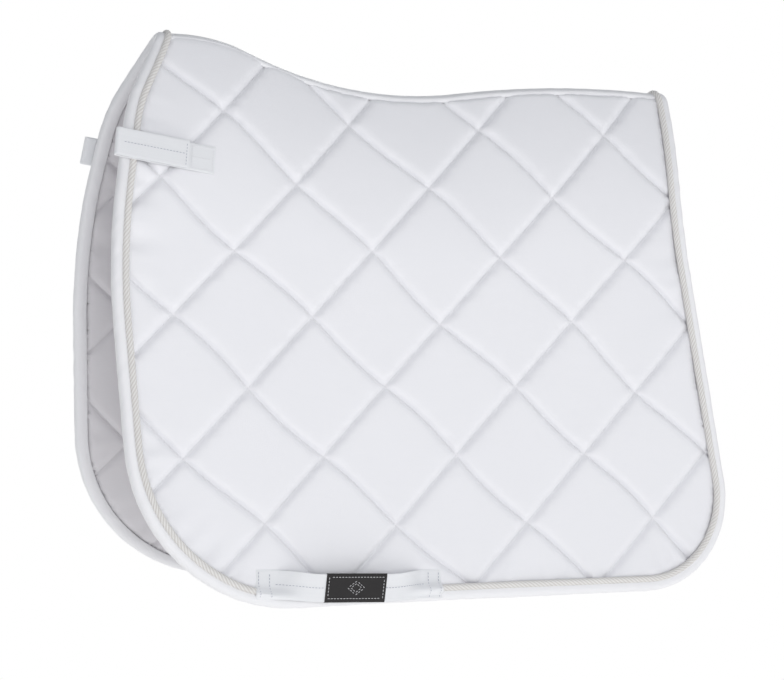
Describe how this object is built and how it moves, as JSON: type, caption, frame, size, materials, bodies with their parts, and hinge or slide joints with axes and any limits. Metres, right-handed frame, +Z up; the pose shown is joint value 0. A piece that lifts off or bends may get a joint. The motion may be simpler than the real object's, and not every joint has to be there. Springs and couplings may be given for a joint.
{
  "type": "saddle pad",
  "caption": "White quilted dressage saddle pad hung open over its spine, with corded and bound edges, girth keepers along the hem and hook-and-loop billet straps at the front.",
  "frame": {"origin": "underside of the spine at the lowest point of the saddle seat", "axes": "+X to the horse's tail, +Y to the horse's right, +Z up"},
  "size_m": [0.7067, 0.3062, 0.6145],
  "materials": {
    "quilted_satin": "white satin, diamond quilted",
    "wadding": "polyester wadding, never seen",
    "cotton_lining": "white cotton, quilted with the cover",
    "binding_satin": "smooth white satin",
    "twisted_cord": "twisted off-white piping cord",
    "webbing": "white woven webbing",
    "loop_pile": "fine loop pile",
    "hook_tape": "fine hooks",
    "woven_label": "black woven label"
  },
  "bodies": {
    "spine": {"spine_tape": "binding_satin", "inner_spine_tape": "binding_satin", "spine_seam": "wadding", "centre_edge_binding": "binding_satin", "centre_edge_cord": "twisted_cord"},
    "left_half": {"left_cover": "quilted_satin", "left_wadding": "wadding", "left_lining": "cotton_lining", "left_edge_binding": "binding_satin", "left_edge_cord": "twisted_cord", "left_girth_keeper": "webbing", "left_billet_strap_base": "webbing", "left_billet_loop_patch": "loop_pile", "left_label_band": "woven_label"},
    "left_billet_flap": {"left_billet_strap_flap": "webbing", "left_billet_hook_patch": "hook_tape"},
    "right_half": {"right_cover": "quilted_satin", "right_wadding": "wadding", "right_lining": "cotton_lining", "right_edge_binding": "binding_satin", "right_edge_cord": "twisted_cord", "right_girth_keeper": "webbing", "right_billet_strap_base": "webbing", "right_billet_loop_patch": "loop_pile"},
    "right_billet_flap": {"right_billet_strap_flap": "webbing", "right_billet_hook_patch": "hook_tape"}
  },
  "joints": [
    {"name": "left_spine_fold", "type": "hinge", "parent": "spine", "child": "left_half", "pos_m": [-0.27, 0, 0.052], "axis": [-0.9974, 0, 0.0715], "range_deg": [-7, 45], "deforming": ["spine_tape", "inner_spine_tape", "spine_seam", "centre_edge_binding", "centre_edge_cord"]},
    {"name": "left_billet_fold", "type": "hinge", "parent": "left_half", "child": "left_billet_flap", "pos_m": [-0.34347, -0.07279, -0.05354], "axis": [-0.1478, -0.2526, -0.9562], "range_deg": [0, 150]},
    {"name": "right_spine_fold", "type": "hinge", "parent": "spine", "child": "right_half", "pos_m": [-0.27, 0, 0.052], "axis": [0.9974, 0, -0.0715], "range_deg": [-7, 45], "deforming": ["spine_tape", "inner_spine_tape", "spine_seam", "centre_edge_binding", "centre_edge_cord"]},
    {"name": "right_billet_fold", "type": "hinge", "parent": "right_half", "child": "right_billet_flap", "pos_m": [-0.34347, 0.07279, -0.05354], "axis": [0.1478, -0.2526, 0.9562], "range_deg": [0, 150]}
  ]
}
